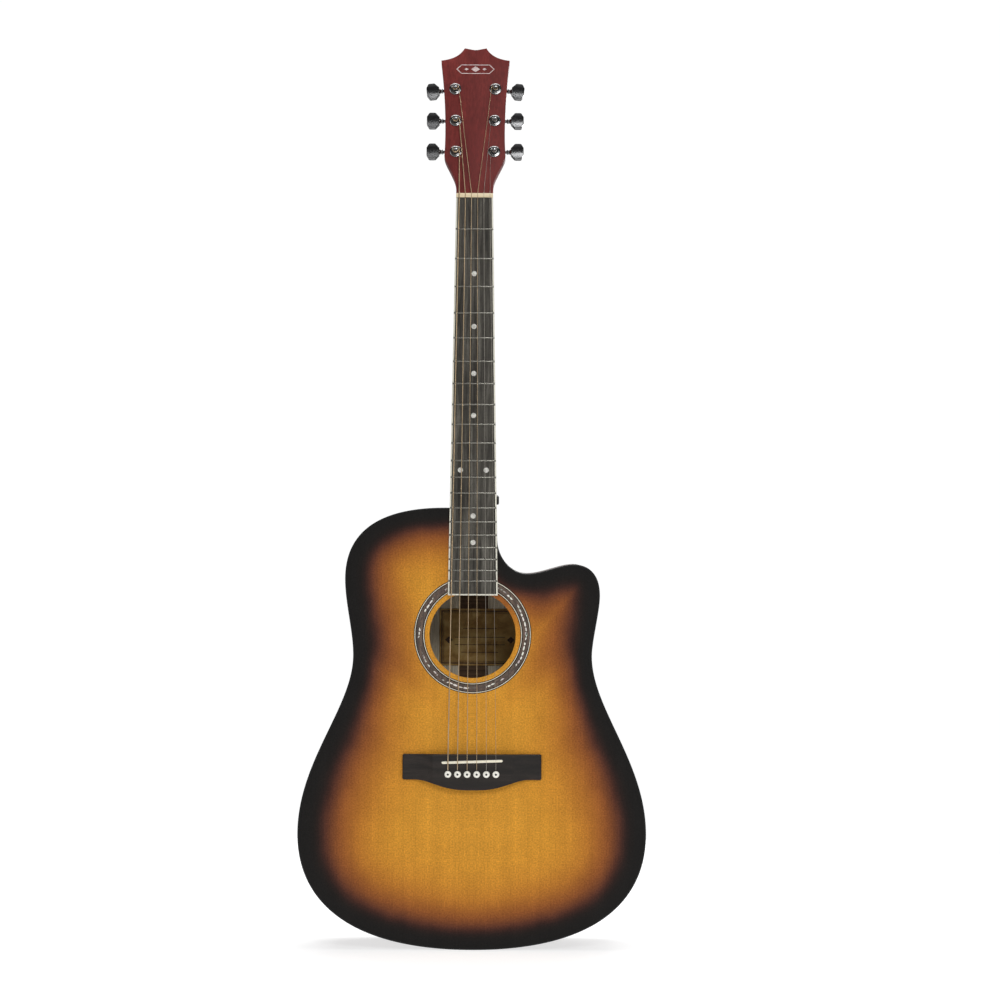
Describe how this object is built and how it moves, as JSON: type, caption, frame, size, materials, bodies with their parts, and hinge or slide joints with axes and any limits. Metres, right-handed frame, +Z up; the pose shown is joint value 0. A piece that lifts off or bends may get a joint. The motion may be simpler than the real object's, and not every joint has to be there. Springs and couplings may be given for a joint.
{
  "type": "acoustic guitar",
  "caption": "Steel-string acoustic guitar with a single cutaway and sunburst soundboard, built as separate body, neck, bridge, strings and geared tuners that turn.",
  "frame": {"origin": "centre of the bounding box in X and Y, at the lowest point of the tail, where the upright guitar stands", "axes": "+Z up the neck towards the headstock, -Y out of the soundboard, +X towards the treble side, which has the cutaway"},
  "size_m": [0.4046, 0.1328, 1.0555],
  "materials": {
    "soundboard_sunburst": "satin sunburst, dark at the rim",
    "body_wood": "satin",
    "neck_wood": "satin",
    "fingerboard_wood": "open-grained, oiled",
    "bridge_wood": "oiled",
    "inner_wood": "unfinished",
    "binding": "satin",
    "pearl_inlay": "polished",
    "bone": "satin",
    "tuner_metal": "black chrome",
    "steel": "plain",
    "wound_string": "wound bronze",
    "plain_string": "bright",
    "black_plastic": "satin"
  },
  "bodies": {
    "guitar": {"soundboard": "soundboard_sunburst", "rosette": "pearl_inlay", "back_plate": "body_wood", "side_bass": "body_wood", "side_treble": "body_wood", "top_binding": "binding", "back_binding": "binding", "top_lining": "inner_wood", "back_lining": "inner_wood", "neck_block": "inner_wood", "tail_block": "inner_wood", "x_brace_a": "inner_wood", "x_brace_b": "inner_wood", "upper_transverse_brace": "inner_wood", "bridge_plate": "inner_wood", "bridge": "bridge_wood", "saddle": "bone", "bridge_pin_1": "bone", "bridge_pin_2": "bone", "bridge_pin_3": "bone", "bridge_pin_4": "bone", "bridge_pin_5": "bone", "bridge_pin_6": "bone", "neck": "neck_wood", "heel_cap": "bridge_wood", "fingerboard": "fingerboard_wood", "nut": "bone", "truss_rod": "steel", "strap_button": "black_plastic", "string_1": "wound_string", "string_2": "wound_string", "string_3": "wound_string", "string_4": "wound_string", "string_5": "plain_string", "string_6": "plain_string", "bushing_bass_lower": "tuner_metal", "housing_bass_lower": "tuner_metal", "bushing_bass_middle": "tuner_metal", "housing_bass_middle": "tuner_metal", "bushing_bass_upper": "tuner_metal", "housing_bass_upper": "tuner_metal", "bushing_treble_lower": "tuner_metal", "housing_treble_lower": "tuner_metal", "bushing_treble_middle": "tuner_metal", "housing_treble_middle": "tuner_metal", "bushing_treble_upper": "tuner_metal", "housing_treble_upper": "tuner_metal"},
    "knob_bass_lower": {"knob_bass_lower": "tuner_metal"},
    "post_bass_lower": {"post_bass_lower": "tuner_metal"},
    "knob_bass_middle": {"knob_bass_middle": "tuner_metal"},
    "post_bass_middle": {"post_bass_middle": "tuner_metal"},
    "knob_bass_upper": {"knob_bass_upper": "tuner_metal"},
    "post_bass_upper": {"post_bass_upper": "tuner_metal"},
    "knob_treble_lower": {"knob_treble_lower": "tuner_metal"},
    "post_treble_lower": {"post_treble_lower": "tuner_metal"},
    "knob_treble_middle": {"knob_treble_middle": "tuner_metal"},
    "post_treble_middle": {"post_treble_middle": "tuner_metal"},
    "knob_treble_upper": {"knob_treble_upper": "tuner_metal"},
    "post_treble_upper": {"post_treble_upper": "tuner_metal"},
    "truss_rod_nut": {"truss_rod_nut": "steel"}
  },
  "joints": [
    {"name": "knob_bass_lower_turn", "type": "hinge", "parent": "guitar", "child": "knob_bass_lower", "pos_m": [-0.0224, -0.0206, 0.93109], "axis": [-1, 0, 0], "continuous": true},
    {"name": "post_bass_lower_turn", "type": "hinge", "parent": "guitar", "child": "post_bass_lower", "pos_m": [-0.0224, -0.04092, 0.92894], "axis": [0, -0.9703, 0.2419], "continuous": true},
    {"name": "knob_bass_middle_turn", "type": "hinge", "parent": "guitar", "child": "knob_bass_middle", "pos_m": [-0.0229, -0.01124, 0.96864], "axis": [-1, 0, 0], "continuous": true},
    {"name": "post_bass_middle_turn", "type": "hinge", "parent": "guitar", "child": "post_bass_middle", "pos_m": [-0.0229, -0.03156, 0.96649], "axis": [0, -0.9703, 0.2419], "continuous": true},
    {"name": "knob_bass_upper_turn", "type": "hinge", "parent": "guitar", "child": "knob_bass_upper", "pos_m": [-0.02433, -0.00167, 1.00703], "axis": [-0.9945, -0.0253, -0.1014], "continuous": true},
    {"name": "post_bass_upper_turn", "type": "hinge", "parent": "guitar", "child": "post_bass_upper", "pos_m": [-0.0236, -0.02198, 1.00492], "axis": [0, -0.9703, 0.2419], "continuous": true},
    {"name": "knob_treble_lower_turn", "type": "hinge", "parent": "guitar", "child": "knob_treble_lower", "pos_m": [0.0224, -0.0206, 0.93109], "axis": [1, 0, 0], "continuous": true},
    {"name": "post_treble_lower_turn", "type": "hinge", "parent": "guitar", "child": "post_treble_lower", "pos_m": [0.0224, -0.04092, 0.92894], "axis": [0, -0.9703, 0.2419], "continuous": true},
    {"name": "knob_treble_middle_turn", "type": "hinge", "parent": "guitar", "child": "knob_treble_middle", "pos_m": [0.0229, -0.01124, 0.96864], "axis": [1, 0, 0], "continuous": true},
    {"name": "post_treble_middle_turn", "type": "hinge", "parent": "guitar", "child": "post_treble_middle", "pos_m": [0.0229, -0.03156, 0.96649], "axis": [0, -0.9703, 0.2419], "continuous": true},
    {"name": "knob_treble_upper_turn", "type": "hinge", "parent": "guitar", "child": "knob_treble_upper", "pos_m": [0.02433, -0.00167, 1.00703], "axis": [0.9945, -0.0253, -0.1014], "continuous": true},
    {"name": "post_treble_upper_turn", "type": "hinge", "parent": "guitar", "child": "post_treble_upper", "pos_m": [0.0236, -0.02198, 1.00492], "axis": [0, -0.9703, 0.2419], "continuous": true},
    {"name": "truss_rod_nut_turn", "type": "hinge", "parent": "guitar", "child": "truss_rod_nut", "pos_m": [0, -0.0472, 0.4494], "axis": [0, 0, 1], "range_deg": [-180, 180]}
  ],
  "couplings": [
    {"joint": "post_bass_lower_turn", "follows": "knob_bass_lower_turn", "ratio": 0.071429},
    {"joint": "post_bass_middle_turn", "follows": "knob_bass_middle_turn", "ratio": 0.071429},
    {"joint": "post_bass_upper_turn", "follows": "knob_bass_upper_turn", "ratio": 0.071429},
    {"joint": "post_treble_lower_turn", "follows": "knob_treble_lower_turn", "ratio": 0.071429},
    {"joint": "post_treble_middle_turn", "follows": "knob_treble_middle_turn", "ratio": 0.071429},
    {"joint": "post_treble_upper_turn", "follows": "knob_treble_upper_turn", "ratio": 0.071429}
  ]
}
